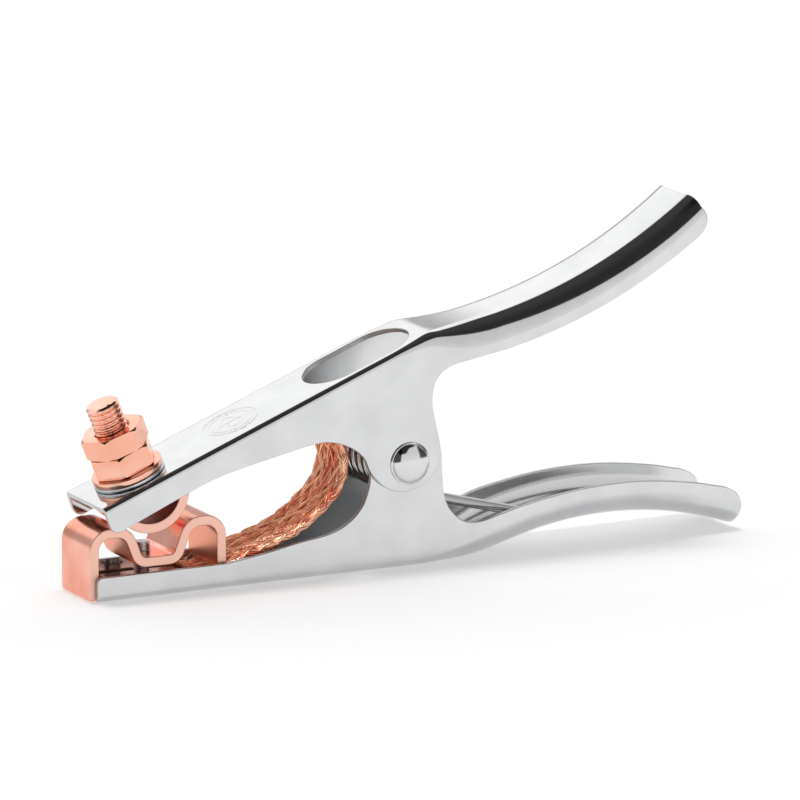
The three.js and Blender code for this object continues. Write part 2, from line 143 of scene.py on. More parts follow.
def even(line, step, closed=True):
    """The same line with points about step apart; sharp turns lose at most half a step."""
    p = np.array(line, float)
    if closed:
        p = np.vstack([p, p[:1]])
    seg = np.linalg.norm(np.diff(p, axis=0), axis=1)
    p = p[np.concatenate([[True], seg > 1e-6])]
    at = run_along(p)
    count = max(8, int(round(at[-1] / step)))
    s = np.linspace(0, at[-1], count + 1)
    if closed:
        s = s[:-1]
    return np.stack([np.interp(s, at, p[:, k]) for k in range(p.shape[1])], 1)


def smooth(x, a, b):
    t = np.clip((np.asarray(x, float) - a) / (b - a), 0, 1)
    return t * t * (3 - 2 * t)


def between(first, second, x0, x1):
    """A size along the arm that goes softly from one value at x0 to another at x1."""
    return lambda x: first + (second - first) * smooth(x, x0, x1)


def unit(rows):
    return rows / np.maximum(np.linalg.norm(rows, axis=1, keepdims=True), 1e-12)


def run_along(points):
    """Length along the line up to each of its points."""
    return np.concatenate([[0], np.cumsum(np.linalg.norm(np.diff(points, axis=0), axis=1))])


def signed_area(loop):
    x, y = loop[:, 0], loop[:, 1]
    return 0.5 * np.sum(x * np.roll(y, -1) - np.roll(x, -1) * y)


# ---- mesh tools ----
def mark(obj, **masks):
    """Stores one number per vertex under each name, for the materials to read."""
    for name, values in masks.items():
        layer = obj.data.attributes.new(name, "FLOAT", "POINT")
        layer.data.foreach_set("value", np.asarray(values, np.float32))
    return obj


def add_object(name, data):
    obj = bpy.data.objects.new(name, data)
    bpy.context.scene.collection.objects.link(obj)
    return obj


def new_object(name, verts, faces, normals=None):
    """A mesh from millimetre points in the drawing; normals are per vertex."""
    v = np.array(verts, float)
    v[:, 0] += SHIFT
    v *= MM
    mesh = bpy.data.meshes.new(name)
    mesh.from_pydata([tuple(c) for c in v], [], [tuple(int(i) for i in f) for f in faces])
    mesh.update()
    obj = add_object(name, mesh)
    for poly in mesh.polygons:
        poly.use_smooth = True
    if normals is not None:
        n = unit(np.array(normals, float))
        mesh.normals_split_custom_set_from_vertices([tuple(c) for c in n])
    return obj


def walls(rows, count, base=0):
    """Quads that join rows of count points, each row a closed ring, numbered on from base."""
    quads = []
    for a in range(base, base + (rows - 1) * count, count):
        for k in range(count):
            m = (k + 1) % count
            quads.append((a + k, a + m, a + count + m, a + count + k))
    return quads


def closed_tube(rows, count, base=0):
    """The same with a flat face over each end."""
    last = base + (rows - 1) * count
    ends = [tuple(range(base + count - 1, base - 1, -1)), tuple(range(last, last + count))]
    return walls(rows, count, base) + ends


def bevel(obj, width, segments, angle):
    """Rounds the edges that turn by more than angle, and applies the rounding."""
    m = obj.modifiers.new("edges", "BEVEL")
    m.width = width * MM
    m.segments = segments
    m.limit_method = "ANGLE"
    m.angle_limit = angle * DEG
    m.harden_normals = True
    m.use_clamp_overlap = True
    deps = bpy.context.evaluated_depsgraph_get()
    mesh = bpy.data.meshes.new_from_object(obj.evaluated_get(deps))
    mesh.name = obj.name
    obj.modifiers.clear()
    obj.data = mesh


def enclosed(points, loops):
    """True where a point is inside the first loop and outside the others."""
    result = np.zeros(len(points), bool)
    for loop in loops:
        a, b = loop, np.roll(loop, -1, axis=0)
        odd = np.zeros(len(points), bool)
        for (ax, ay), (bx, by) in zip(a, b):
            if ay == by:
                continue
            hit = (ay > points[:, 1]) != (by > points[:, 1])
            odd ^= hit & (points[:, 0] < (bx - ax) * (points[:, 1] - ay) / (by - ay) + ax)
        result ^= odd
    return result


def inward(loop, hole):
    """Unit normals of a closed loop that point into the material."""
    d = unit(np.roll(loop, -1, axis=0) - np.roll(loop, 1, axis=0))
    n = np.stack([-d[:, 1], d[:, 0]], 1)
    return n * (1 if (signed_area(loop) > 0) != hole else -1)


def weld(points, normals, faces):
    """Joins points that coincide, with the mean of their normals. The faces are renumbered in place."""
    _, first, where = np.unique(np.round(points, 4), axis=0, return_index=True, return_inverse=True)
    where = where.ravel()
    joined = np.zeros((len(first), 3))
    np.add.at(joined, where, normals)
    loops = [tuple(int(where[i]) for i in face) for block in faces for face in block]
    faces[:] = [face for face in loops if len(set(face)) == len(face)]
    return points[first], joined, first


def triangulate(loops, grid):
    """Triangles over the area inside the first loop and outside the others, with the grid's points in it."""
    near, block = 0.3, 64
    grid = grid[enclosed(grid, loops)]
    for loop in loops:
        far = np.ones(len(grid), bool)
        for start in range(0, len(loop), block):
            part = loop[start : start + block]
            far &= np.linalg.norm(grid[:, None] - part[None], axis=2).min(1) > near
        grid = grid[far]
    edges, at = [], 0
    for loop in loops:
        k = len(loop)
        edges += [(at + i, at + (i + 1) % k) for i in range(k)]
        at += k
    out = delaunay_2d_cdt([Vector(p) for p in np.vstack(loops + [grid])], edges, [], 0, 1e-5)
    uv = np.array([list(p) for p in out[0]])
    tris = np.array(out[2])
    tris = tris[enclosed(uv[tris].mean(axis=1), loops)]
    # turn every triangle the same way
    a, b, c = (uv[tris[:, k]] for k in range(3))
    turn = (b[:, 0] - a[:, 0]) * (c[:, 1] - a[:, 1]) - (b[:, 1] - a[:, 1]) * (c[:, 0] - a[:, 0])
    tris[turn < 0] = tris[turn < 0][:, ::-1]
    return uv, tris[np.abs(turn) > 1e-9]


def sheet_piece(name, surface, outline, holes, grid, thickness, edge=EDGE):
    """Bent sheet of even thickness with rounded edges. surface(u, v) gives points of its outer face;
    outline and holes are loops in (u, v), which is close to a flat pattern in millimetres."""

    def point(uv):
        return surface(uv[:, 0], uv[:, 1])

    def normal(uv):
        h = 0.02
        du = point(uv + [h, 0]) - point(uv - [h, 0])
        dv = point(uv + [0, h]) - point(uv - [0, h])
        return unit(np.cross(du, dv))

    loops = [(np.array(outline), False)] + [(np.array(h), True) for h in holes]
    # in single precision, like the points that the triangulation gives back, so that they weld
    inner = [np.float32(loop + edge * inward(loop, hole)).astype(float) for loop, hole in loops]
    uv, tris = triangulate(inner, grid)
    n, p = normal(uv), point(uv)
    verts, norms, faces = [p, p - thickness * n], [n, -n], [tris, tris[:, ::-1] + len(uv)]
    base = 2 * len(uv)
    back, rim = [np.zeros(len(uv)), np.ones(len(uv))], [np.zeros(base)]
    # rim of each loop, from the outer face round to the inner one
    for (loop, hole), ring in zip(loops, inner):
        k = len(ring)
        out_dir = -inward(loop, hole)
        centre = normal(ring)
        sideways = unit(point(ring + 0.05 * out_dir) - point(ring))
        angles = np.linspace(0, math.pi / 2, RIM_PARTS + 1)
        rows = [(edge * math.sin(t), edge * (1 - math.cos(t)), math.cos(t), math.sin(t)) for t in angles]
        rows += [(o, thickness - d, -c_, s_) for o, d, c_, s_ in rows[::-1]]
        for o, d, c_, s_ in rows:
            q = ring + o * out_dir
            verts.append(point(q) - d * normal(q))
            norms.append(c_ * centre + s_ * sideways)
            back.append(np.zeros(k))
            rim.append(np.full(k, smooth(o / edge, 0.2, 0.9)))
        flip = (signed_area(ring) > 0) != hole
        for q in walls(len(rows), k, base):
            faces.append([(q[0], *q[:0:-1]) if flip else (*q[1:], q[0])])
        base += len(rows) * k
    points, normals, first = weld(np.vstack(verts), np.vstack(norms), faces)
    obj = new_object(name, points, faces, normals)
    return mark(obj, inside=np.concatenate(back)[first], rim=np.concatenate(rim)[first])


def lathe(name, profile, segments, place, sharp=30):
    """Body of revolution about its own z; profile is (radius, height) from bottom to top, closed
    on the axis or on itself. place turns local millimetre points into drawing points."""
    prof = np.array(profile, float)
    verts, faces, rings = [], [], []
    for r, h in prof:
        count = 1 if r < 1e-6 else segments
        rings.append(list(range(len(verts), len(verts) + count)) * (segments // count))
        for k in range(count):
            a = 2 * math.pi * k / segments
            verts.append((r * math.cos(a), r * math.sin(a), h))
    closed = prof[0][0] > 1e-6
    for a, b in zip(rings, rings[1:] + rings[: int(closed)]):
        for k in range(segments):
            m = (k + 1) % segments
            corners = tuple(dict.fromkeys((a[k], a[m], b[m], b[k])))
            if len(corners) > 2:
                faces.append(corners)
    obj = new_object(name, place(np.array(verts, float)), faces)
    set_sharp(obj, sharp)
    return obj


def set_sharp(obj, angle):
    mesh = obj.data
    bm = bmesh.new()
    bm.from_mesh(mesh)
    bmesh.ops.recalc_face_normals(bm, faces=bm.faces)
    for e in bm.edges:
        e.smooth = len(e.link_faces) != 2 or e.calc_face_angle(0) < angle * DEG
    for f in bm.faces:
        f.smooth = True
    bm.to_mesh(mesh)
    bm.free()


def rounded(profile, radius, parts=4):
    """Profile with its corners rounded; a closed one starts and ends at the same point."""
    p = [np.array(q, float) for q in profile]
    closed = np.allclose(p[0], p[-1])
    if closed:
        p = p[:-1]
    out = []
    n = len(p)
    for i, q in enumerate(p):
        if not closed and i in (0, n - 1):
            out.append(q)
            continue
        a, b = p[i - 1] - q, p[(i + 1) % n] - q
        la, lb = np.linalg.norm(a), np.linalg.norm(b)
        r = min(radius, la * 0.45, lb * 0.45)
        out += list(quadratic(q + a / la * r, q, q + b / lb * r, parts))
    return out


def tube(name, path, radius, sides):
    """Round wire along a path of drawing points, with domed ends."""
    p = np.array(path, float)
    t = unit(np.gradient(p, axis=0))
    u = np.cross(t[0], (0, 1, 0))
    u /= np.linalg.norm(u)
    verts = []
    ends = [(s, math.sqrt(max(0.0, 1 - s * s))) for s in (0.98, 0.8, 0.45)]

    def ring(centre, tangent, u, r):
        v = np.cross(tangent, u)
        for k in range(sides):
            a = 2 * math.pi * k / sides
            verts.append(centre + r * (math.cos(a) * u + math.sin(a) * v))

    for i in range(len(p)):
        u = u - t[i] * np.dot(u, t[i])
        u /= np.linalg.norm(u)
        if i == 0:
            for s, r in ends:
                ring(p[0] - t[0] * s * radius * 0.5, t[0], u, radius * r)
        ring(p[i], t[i], u, radius)
        if i == len(p) - 1:
            for s, r in ends[::-1]:
                ring(p[-1] + t[-1] * s * radius * 0.5, t[-1], u, radius * r)
    return new_object(name, np.array(verts), closed_tube(len(verts) // sides, sides))


# ---- arms ----
def upper_crown_line(turn):
    return trace(
        NOSE[0], NOSE[1], SLOPE / DEG, [("line", 111.6), ("arc", 14, -17.2), ("arc", 158, turn)], 1.0, 0.5
    )


UPPER_LINE = upper_crown_line(40)
UPPER_END = upper_crown_line(33.4)[-1]
LOWER_LINE = trace(LOWER_NOSE_X - 4, 0, 0, [("line", 121.5), ("arc", 53, 17.7), ("arc", 118, -43)], 1.0, 0.5)


SOFTEN = 17  # samples of the softening window
END_KEPT = 10  # samples left as they are at each end


def crown_of(line):
    """Height of the web's outer face as a function of x."""
    lead_in, sample = 6, 0.25
    back = line[0] - [lead_in * math.cos(line[0][2]), lead_in * math.sin(line[0][2]), 0]
    full = np.vstack([back, line])
    xs, zs = full[:, 0], full[:, 1]
    # softened a little, so that reflections don't break where a line meets an arc
    x = np.arange(xs[0], xs[-1], sample)
    z = np.interp(x, xs, zs)
    kernel = np.hanning(SOFTEN)
    kernel /= kernel.sum()
    soft = np.convolve(z, kernel, mode="same")
    soft[:END_KEPT], soft[-END_KEPT:] = z[:END_KEPT], z[-END_KEPT:]
    return lambda q: np.interp(q, x, soft)


UPPER_Z = crown_of(UPPER_LINE)
LOWER_Z = crown_of(LOWER_LINE)


def folded(crown, side, half, bend, relief=None):
    """Outer face of a folded channel as surface(x, v): v is the way round from the middle of the web.
    side is 1 when the flanges stand up from the web, and -1 when they hang down."""

    def surface(x, v):
        w, r, z = half(x), bend(x), crown(x)
        s, d = np.sign(v), np.abs(v)
        flat = w - r
        turn = np.clip((d - flat) / r, 0, math.pi / 2)
        down = np.maximum(d - flat - r * math.pi / 2, 0)
        y = np.minimum(d, flat) + r * np.sin(turn)
        drop = r * (1 - np.cos(turn)) + down
        p = np.stack([x, s * y, z + side * drop], 1)
        if relief is not None:
            p[:, 2] += relief(x, v)
        return p

    return surface


def flip_v(surface):
    """The same surface with its v axis turned round, so that du x dv points out of the outer face."""
    return lambda u, v: surface(u, -v)


def flat_v(x, z, crown, side, half, bend):
    """v of the side-view point (x, z) on the flange or in the bend."""
    w, r = half(x), bend(x)
    d = np.maximum(side * (z - crown(x)), 0)
    in_bend = np.arccos(np.clip(1 - d / r, -1, 1)) * r
    return w - r + np.where(d < r, in_bend, r * math.pi / 2 + d - r)


upper_half = between(UPPER_HALF, HANDLE_HALF, 4, 32)
lower_half = between(LOWER_HALF, HANDLE_HALF, 13, 38)
upper_bend = between(JAW_BEND, HANDLE_BEND, -6, 26)
lower_bend = between(JAW_BEND, HANDLE_BEND, 4, 34)


def upper_point(along, above):
    return (
        NOSE[0] + along * math.cos(SLOPE) - above * math.sin(SLOPE),
        NOSE[1] + along * math.sin(SLOPE) + above * math.cos(SLOPE),
    )


def below(s, depth):
    return (s[0] + depth * math.sin(s[2]), s[1] - depth * math.cos(s[2]))


def upper_side():
    """Side outline from the web's nose edge, round the cheek, to the grip end at the web."""
    flange = 8.6
    corner = 3.2
    parts = [[upper_point(0, 0)]]
    nose = [(0, corner - flange), (0, -flange), (corner, -flange)]
    parts.append(quadratic(*(upper_point(*q) for q in nose)))
    cheek = [
        (-58.8, 34.4), (-45, 37.4), (-31.8, 40), (-25.5, 40.1), (-19.4, 38), (-14.9, 34.4), (-12.3, 29.2),
        (-7.2, 24.5), (-1, 23), (5, 24.8), (9, 29), (10.2, 34.5), (8.6, 42.4), (7.5, 49), (8.8, 55.2),
        (13, 58.8), (20, 60.4), (31, 62.3),
    ]  # fmt: skip
    parts.append(catmull([upper_point(31, -7.75)] + cheek, 14))
    grip = [below(s, GRIP_DEPTH) for s in UPPER_LINE if 38 < s[0] < UPPER_END[0] - 9]
    parts.append(grip)
    back = 6.5
    corner_point = np.array(below(UPPER_END, GRIP_DEPTH))
    h = UPPER_END[2]
    start = corner_point - back * np.array([math.cos(h), math.sin(h)])
    parts.append(quadratic(start, corner_point, below(UPPER_END, GRIP_DEPTH - back), 12))
    parts.append([(UPPER_END[0], UPPER_END[1])])
    return np.vstack([np.array(p, float).reshape(-1, 2) for p in parts])


def lower_side():
    """Side outline from the web's nose edge, up the flange front, round the lobe, to the grip end."""
    top = 7.3
    front = -99.5
    parts = [[(front, 0), (front, SHEET)]]
    parts.append(quadratic((front, top - 1.5), (front, top), (front + 1.5, top)))
    slope = [(-58.2, top), (-46, 9), (-35.5, 10.9), (-25.5, 12.4), (-19.2, 15), (-14.6, 19.4), (-12.2, 25.4)]
    parts.append(catmull(slope + [(-11.5, PIVOT_Z)], 14))
    parts.append(arc(0, PIVOT_Z, 11.5, 180, 0, 48)[1:-1])
    grip = [
        (11.5, PIVOT_Z), (11.7, 26.4), (12.4, 20), (14.4, 15.6), (18.6, 11.8), (23.4, 11.2), (29, 12.7),
        (36, 14.6), (47, 16.6), (57.8, 17.9), (70.7, 18.3), (82, 17.6), (94.4, 15.8), (102.8, 13.9),
    ]  # fmt: skip
    parts.append(catmull(grip, 14))
    parts.append(quadratic((102.8, 13.9), (110.4, 12.4), (110.7, 7), 14))
    parts.append([(109.4, 0.6), (109.3, float(LOWER_Z(109.3)))])
    return np.vstack([np.array(p, float).reshape(-1, 2) for p in parts])


def arm_outline(side_line, crown, side, half, bend, notch=None):
    """Flat outline from the side view; notch is how far back and how wide each way the front is cut."""
    x, z = side_line[:, 0], side_line[:, 1]
    v = flat_v(x, z, crown, side, half, bend)
    # the web's own edge at each end runs straight across
    v[0], v[-1] = half(x[0]) - bend(x[0]), half(x[-1]) - bend(x[-1])
    one = np.stack([x, v], 1)
    if notch is not None:
        one = np.vstack([notch, (x[0], notch[1]), one[1:]])
    other = one[::-1] * [1, -1]
    return even(np.vstack([one, other]), 0.6)


def arm_grid(x0, x1, half, bend, deepest, dense=None):
    """Points for the flat pattern: close together across the long bends, wide apart on flats."""
    along, wide, past_bend, thin_bend = 1.6, 2.2, 1.6, 3
    rows = []
    x = x0
    while x < x1:
        w, r = float(half(x)), float(bend(x))
        flat = w - r
        bends = np.linspace(flat, flat + r * math.pi / 2, 9 if r < thin_bend else 13)
        flats = np.linspace(0, flat, max(2, int(flat / wide)))[:-1]
        flange = np.arange(bends[-1] + past_bend, deepest, wide)
        v = np.concatenate([flats, bends, flange])
        v = np.unique(np.concatenate([v, -v]).round(4))
        rows.append(np.stack([np.full(len(v), x), v], 1))
        x += along
    g = np.vstack(rows)
    if dense is not None:
        (ax, bx), (av, bv), d = dense
        gx, gv = np.meshgrid(np.arange(ax, bx, d), np.arange(av, bv, d))
        fine = np.stack([gx.ravel(), gv.ravel()], 1)
        out = (g[:, 0] < ax - d) | (g[:, 0] > bx + d) | (g[:, 1] < av - d) | (g[:, 1] > bv + d)
        g = np.vstack([g[out], fine])
    rng = np.random.default_rng(7)
    return g + rng.uniform(-SHAKE, SHAKE, g.shape)


# ---- materials ----
DRIFT_SCALE = 85  # of the slow changes of tone


def feed(nt, socket, value):
    """Links an output to the socket, or sets the socket to a plain value."""
    if hasattr(value, "is_output"):
        nt.links.new(value, socket)
    else:
        socket.default_value = value


def mix_node(nt, factor, a, b, blend="MIX"):
    node = nt.nodes.new("ShaderNodeMix")
    node.data_type = "RGBA"
    node.blend_type = blend
    for name, value in (("Factor", factor), ("A", a), ("B", b)):
        feed(nt, node.inputs[name], value)
    return node.outputs["Result"]


def math_node(nt, operation, a, b=0.0, c=0.0):
    node = nt.nodes.new("ShaderNodeMath")
    node.operation = operation
    for socket, value in zip(node.inputs, (a, b, c)):
        feed(nt, socket, value)
    return node.outputs[0]


def noise_node(nt, scale, detail):
    """Noise that stays fixed to the object."""
    coords = nt.nodes.new("ShaderNodeTexCoord")
    node = nt.nodes.new("ShaderNodeTexNoise")
    node.inputs["Scale"].default_value = scale
    node.inputs["Detail"].default_value = detail
    nt.links.new(coords.outputs["Object"], node.inputs["Vector"])
    return node.outputs["Fac"]


def range_node(nt, value, side, low, high):
    """Map Range with its From or its To end set, and the other left at 0 to 1."""
    node = nt.nodes.new("ShaderNodeMapRange")
    node.inputs[side + " Min"].default_value = low
    node.inputs[side + " Max"].default_value = high
    nt.links.new(value, node.inputs["Value"])
    return node.outputs["Result"]


def metal(name, color, rough, vary, scale, bump=0.0, tone=None, **masks):
    """Bare metal with fine changes of gloss and slow drifts to a second tone. Each mask is (colour,
    extra roughness) where the mesh's number of that name is one."""
    mat = bpy.data.materials.new(name)
    mat.use_nodes = True
    nt = mat.node_tree
    bsdf = nt.nodes["Principled BSDF"]
    bsdf.inputs["Metallic"].default_value = 1.0
    bsdf.inputs["Base Color"].default_value = (*color, 1)
    fine = noise_node(nt, scale, 5)
    roughness = range_node(nt, fine, "To", max(0.02, rough - vary), rough + vary)
    shade = (*color, 1)
    if tone is not None:
        drift = range_node(nt, noise_node(nt, DRIFT_SCALE, 3), "From", 0.32, 0.68)
        shade = mix_node(nt, drift, shade, (*tone, 1))
    for mask, (other, extra) in masks.items():
        read = nt.nodes.new("ShaderNodeAttribute")
        read.attribute_name = mask
        where = read.outputs["Fac"]
        shade = mix_node(nt, where, shade, (*other, 1))
        roughness = math_node(nt, "MULTIPLY_ADD", where, extra, roughness)
    feed(nt, bsdf.inputs["Roughness"], roughness)
    feed(nt, bsdf.inputs["Base Color"], shade)
    if bump:
        relief = nt.nodes.new("ShaderNodeBump")
        relief.inputs["Strength"].default_value = bump
        relief.inputs["Distance"].default_value = 0.0002
        nt.links.new(fine, relief.inputs["Height"])
        nt.links.new(relief.outputs["Normal"], bsdf.inputs["Normal"])
    return mat


def set_shader(mat, socket, value):
    mat.node_tree.nodes["Principled BSDF"].inputs[socket].default_value = value


def copper_strip(name, inside):
    """Copper strip; inside is the painted shade colour and extra roughness of the face that is folded in."""
    return metal(
        name, (0.93, 0.48, 0.39), rough=0.19, vary=0.04, scale=500, bump=0.03, tone=(0.85, 0.33, 0.22),
        inside=inside, rim=((1.0, 0.62, 0.5), 0.3),
    )  # fmt: skip


# inner faces of the arms in a lighter grey, painted light in the shaded channels, and with more roughness
STEEL = metal(
    "plated_steel", (0.72, 0.725, 0.73), rough=0.09, vary=0.03, scale=900, bump=0.02,
    tone=(0.655, 0.66, 0.668), inside=((0.74, 0.745, 0.75), 0.12), rim=((0.62, 0.62, 0.62), 0.35),
)  # fmt: skip
SMOOTH_STEEL = metal("rivet_steel", (0.72, 0.725, 0.73), rough=0.08, vary=0.02, scale=900, bump=0.02)
ZINC = metal("zinc_steel", (0.66, 0.67, 0.68), rough=0.26, vary=0.05, scale=700, bump=0.05)
SPRING = metal("spring_steel", (0.42, 0.423, 0.428), rough=0.14, vary=0.04, scale=700, bump=0.05)
set_shader(SPRING, "Coat Weight", 0.7)
set_shader(SPRING, "Coat Roughness", 0.08)
# folded-in faces of the lower jaw and the lugs in a darker, redder copper: painted shade
COPPER_MAT = copper_strip("copper_strip", ((0.86, 0.34, 0.21), 0.12))
# inside of the upper jaw's ring painted a dark red-brown: painted shade
SHADED_COPPER = copper_strip("copper_strip_shaded", ((0.42, 0.12, 0.07), 0.2))
COPPERED = metal(
    "coppered_hardware", (0.97, 0.55, 0.43), rough=0.14, vary=0.05, scale=700, bump=0.05,
    tone=(0.9, 0.43, 0.3),
)  # fmt: skip
# the braid's near-black red core is painted shade between the wires; tint varies at random from wire to wire
WEAVE = metal(
    "copper_weave", (1.0, 0.63, 0.42), rough=0.18, vary=0.04, scale=900,
    tint=((0.68, 0.15, 0.08), 0.1), core=((0.34, 0.07, 0.035), 0.5),
)  # fmt: skip
set_shader(WEAVE, "Metallic", 0.85)
set_shader(WEAVE, "Specular Tint", (1.0, 0.6, 0.42, 1))


def finish_piece(obj, material, body, node):
    """Gives a piece its material and its body if it rides on one, and hides the CAD part it replaces, if
    any.
    """
    obj.data.materials.append(material)
    if body:
        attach(obj, body)
    if node:
        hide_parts(node)


# ---- build the arms ----
def emblem(x, v):
    """Two plain raised rings round an oval with a bar across it, pressed into the upper web."""
    middle, high, big, small, oval = 50.5, 0.1, 8.3, 6.6, 3.2
    along = (x - NOSE[0]) / math.cos(SLOPE) - middle
    r = np.hypot(along, v * 1.02)
    ring = np.exp(-(((r - big) / 0.32) ** 2)) + 0.8 * np.exp(-(((r - small) / 0.25) ** 2))
    inner = np.exp(-(((np.hypot(along * 1.4, v * 0.8) - oval) / 0.35) ** 2))
    bar = np.exp(-((v / 0.5) ** 4)) * np.exp(-((along / 4.2) ** 6))
    return high * np.clip(ring + 0.8 * inner + 0.6 * bar, 0, 1)


def fade_inside_near_jaws(obj):
    """Fades the inside mask out towards the jaws: no painted light or extra roughness there."""
    layer = obj.data.attributes["inside"]
    x = np.array([v.co.x for v in obj.data.vertices]) / MM - SHIFT
    value = np.zeros(len(x), np.float32)
    layer.data.foreach_get("value", value)
    layer.data.foreach_set("value", (value * smooth(x, -62, -35)).astype(np.float32))


def rivet_holes(crown, side, half, bend):
    holes = []
    for s in (1, -1):
        c = arc(0, PIVOT_Z, RIVET_BORE, 0, 360, 40)[:-1]
        c[:, 1] = s * flat_v(c[:, 0], c[:, 1], crown, side, half, bend)
        holes.append(c)
    return holes


def build_upper_arm():
    line = upper_side()
    loop = arm_outline(line, UPPER_Z, -1, upper_half, upper_bend)
    slot_half, slot_from, slot_to = 10.3, 76.5, 111.0
    ends = [(slot_to - slot_half, -90, 90), (slot_from + slot_half, 90, 270)]
    slot = np.vstack([arc(c, 0, slot_half, a, b, 40) for c, a, b in ends])
    slot = even(slot, 0.6)
    slot[:, 0] = NOSE[0] + slot[:, 0] * math.cos(SLOPE)
    bore = arc(TERMINAL_AT, 0, STUD_BORE + 0.2, 0, 360, 48)[:-1]
    bore[:, 0] = NOSE[0] + bore[:, 0] * math.cos(SLOPE)
    holes = [slot, bore] + rivet_holes(UPPER_Z, -1, upper_half, upper_bend)
    surface = folded(UPPER_Z, -1, upper_half, upper_bend, emblem)
    dense = ((NOSE[0] + 38 * math.cos(SLOPE), NOSE[0] + 62 * math.cos(SLOPE)), (-9.6, 9.6), 0.4)
    grid = arm_grid(NOSE[0] + 0.5, UPPER_END[0] + 9, upper_half, upper_bend, 66, dense)
    obj = sheet_piece("upper_arm_sheet", surface, loop, holes, grid, SHEET)
    fade_inside_near_jaws(obj)
    finish_piece(obj, STEEL, "upper", "upper_arm")


def build_lower_arm():
    line = lower_side()
    notch = (LOWER_NOSE_X + COPPER + GAP, JAW_WIDTH / 2 + 0.5)
    loop = arm_outline(line, LOWER_Z, 1, lower_half, lower_bend, notch)
    sink = arc(SCREW_X, 0, SCREW_HEAD + GAP, 0, 360, 48)[:-1]
    holes = [sink] + rivet_holes(LOWER_Z, 1, lower_half, lower_bend)
    surface = flip_v(folded(LOWER_Z, 1, lower_half, lower_bend))
    grid = arm_grid(LOWER_NOSE_X + 0.5, 111, lower_half, lower_bend, 56)
    obj = sheet_piece("lower_arm_sheet", surface, loop, holes, grid, SHEET)
    fade_inside_near_jaws(obj)
    finish_piece(obj, STEEL, "lower", "lower_arm")


build_upper_arm()
build_lower_arm()


# ---- copper strip ----
def strip(name, stations, width, thickness, holes, edge=0.35, left=1):
    """Strip of even thickness bent along the stations. Its outer face is on the left of the line, or on
    the right when left is -1."""
    s = np.array(stations)
    at = run_along(s[:, :2])
    length = at[-1]

    def surface(u, v):
        x, z, h = (np.interp(u, at, s[:, k]) for k in range(3))
        before, after = np.minimum(u, 0), np.maximum(u - length, 0)
        x = x + (before + after) * np.cos(h)
        z = z + (before + after) * np.sin(h)
        half = left * thickness / 2
        return np.stack([x - half * np.sin(h), left * v, z + half * np.cos(h)], 1)

    corner, margin, along, step = 0.8, 0.9, 0.6, 0.7
    side = width / 2
    box = [(0, -side), (length, -side), (length, side), (0, side), (0, -side)]
    loop = even(np.array(rounded(box, corner, 5)), step)
    gu, gv = np.meshgrid(np.arange(along, length, along), np.linspace(-side + margin, side - margin, 7))
    rng = np.random.default_rng(3)
    grid = np.stack([gu.ravel(), gv.ravel()], 1) + rng.uniform(-SHAKE, SHAKE, (gu.size, 2))
    return sheet_piece(name, surface, loop, holes, grid, thickness, edge)


def station_at(stations, x, z):
    s = np.array(stations)
    at = run_along(s[:, :2])
    return at[np.argmin(np.hypot(s[:, 0] - x, s[:, 1] - z))]


LEG_END = 0.2
FRONT_ARCH, VALLEY, REAR_ARCH, VALLEY_TURN = 5.05, 3.4, 5.15, 69
LOWER_JAW_LINE = trace(
    LOWER_NOSE_X + COPPER / 2, LEG_END, 90,
    [("line", 14.4), ("arc", FRONT_ARCH, -90), ("line", 2.2), ("arc", FRONT_ARCH, -VALLEY_TURN),
     ("line", 4.53), ("arc", VALLEY, VALLEY_TURN), ("line", 7.2), ("arc", VALLEY, VALLEY_TURN),
     ("line", 5.3), ("arc", REAR_ARCH, -VALLEY_TURN), ("line", 1.6), ("arc", REAR_ARCH, -90),
     ("line", 8.7)], 0.5, 3,
)  # fmt: skip
screw_at = station_at(LOWER_JAW_LINE, SCREW_X, 10)
screw_hole = arc(screw_at, 0, 2.8, 0, 360, 32)[:-1]
lower_jaw = strip("lower_jaw_strip", LOWER_JAW_LINE, JAW_WIDTH, COPPER, [screw_hole])
finish_piece(lower_jaw, COPPER_MAT, "lower", "lower_jaw")

plate_middle = -(SHEET + GAP + LUG_THICK + GAP + COPPER / 2)
PLATE_BACK = 25.2
plate_and_belly = [("line", 15.5), ("arc", 2.6, 118.6), ("arc", 10.65, 151.4)]
on_arm = trace(PLATE_BACK, plate_middle, 180, plate_and_belly, 0.5, 3)
upper_line = [(*upper_point(x, z), h + SLOPE) for x, z, h in on_arm]
stud_hole = arc(PLATE_BACK - TERMINAL_AT, 0, STUD_BORE, 0, 360, 40)[:-1]
upper_jaw = strip("upper_jaw_strip", upper_line, JAW_WIDTH, COPPER, [stud_hole], left=-1)
finish_piece(upper_jaw, SHADED_COPPER, "upper", "upper_jaw")


# ---- pressed braid ends ----
def lug(name, start, end, width, thickness, hole_at, hole_radius, lift):
    """Flat plate lifted above the line between two (x, z) points of the drawing, with one hole."""
    a, b = np.array(start, float), np.array(end, float)
    length = np.linalg.norm(b - a)
    h = math.atan2(b[1] - a[1], b[0] - a[0])
    middle = lift + thickness / 2
    foot = a + middle * np.array([-math.sin(h), math.cos(h)])
    line = [(*(foot + t * np.array([math.cos(h), math.sin(h)])), h) for t in np.linspace(0, length, 30)]
    return strip(name, line, width, thickness, [arc(hole_at, 0, hole_radius, 0, 360, 32)[:-1]], 0.25)


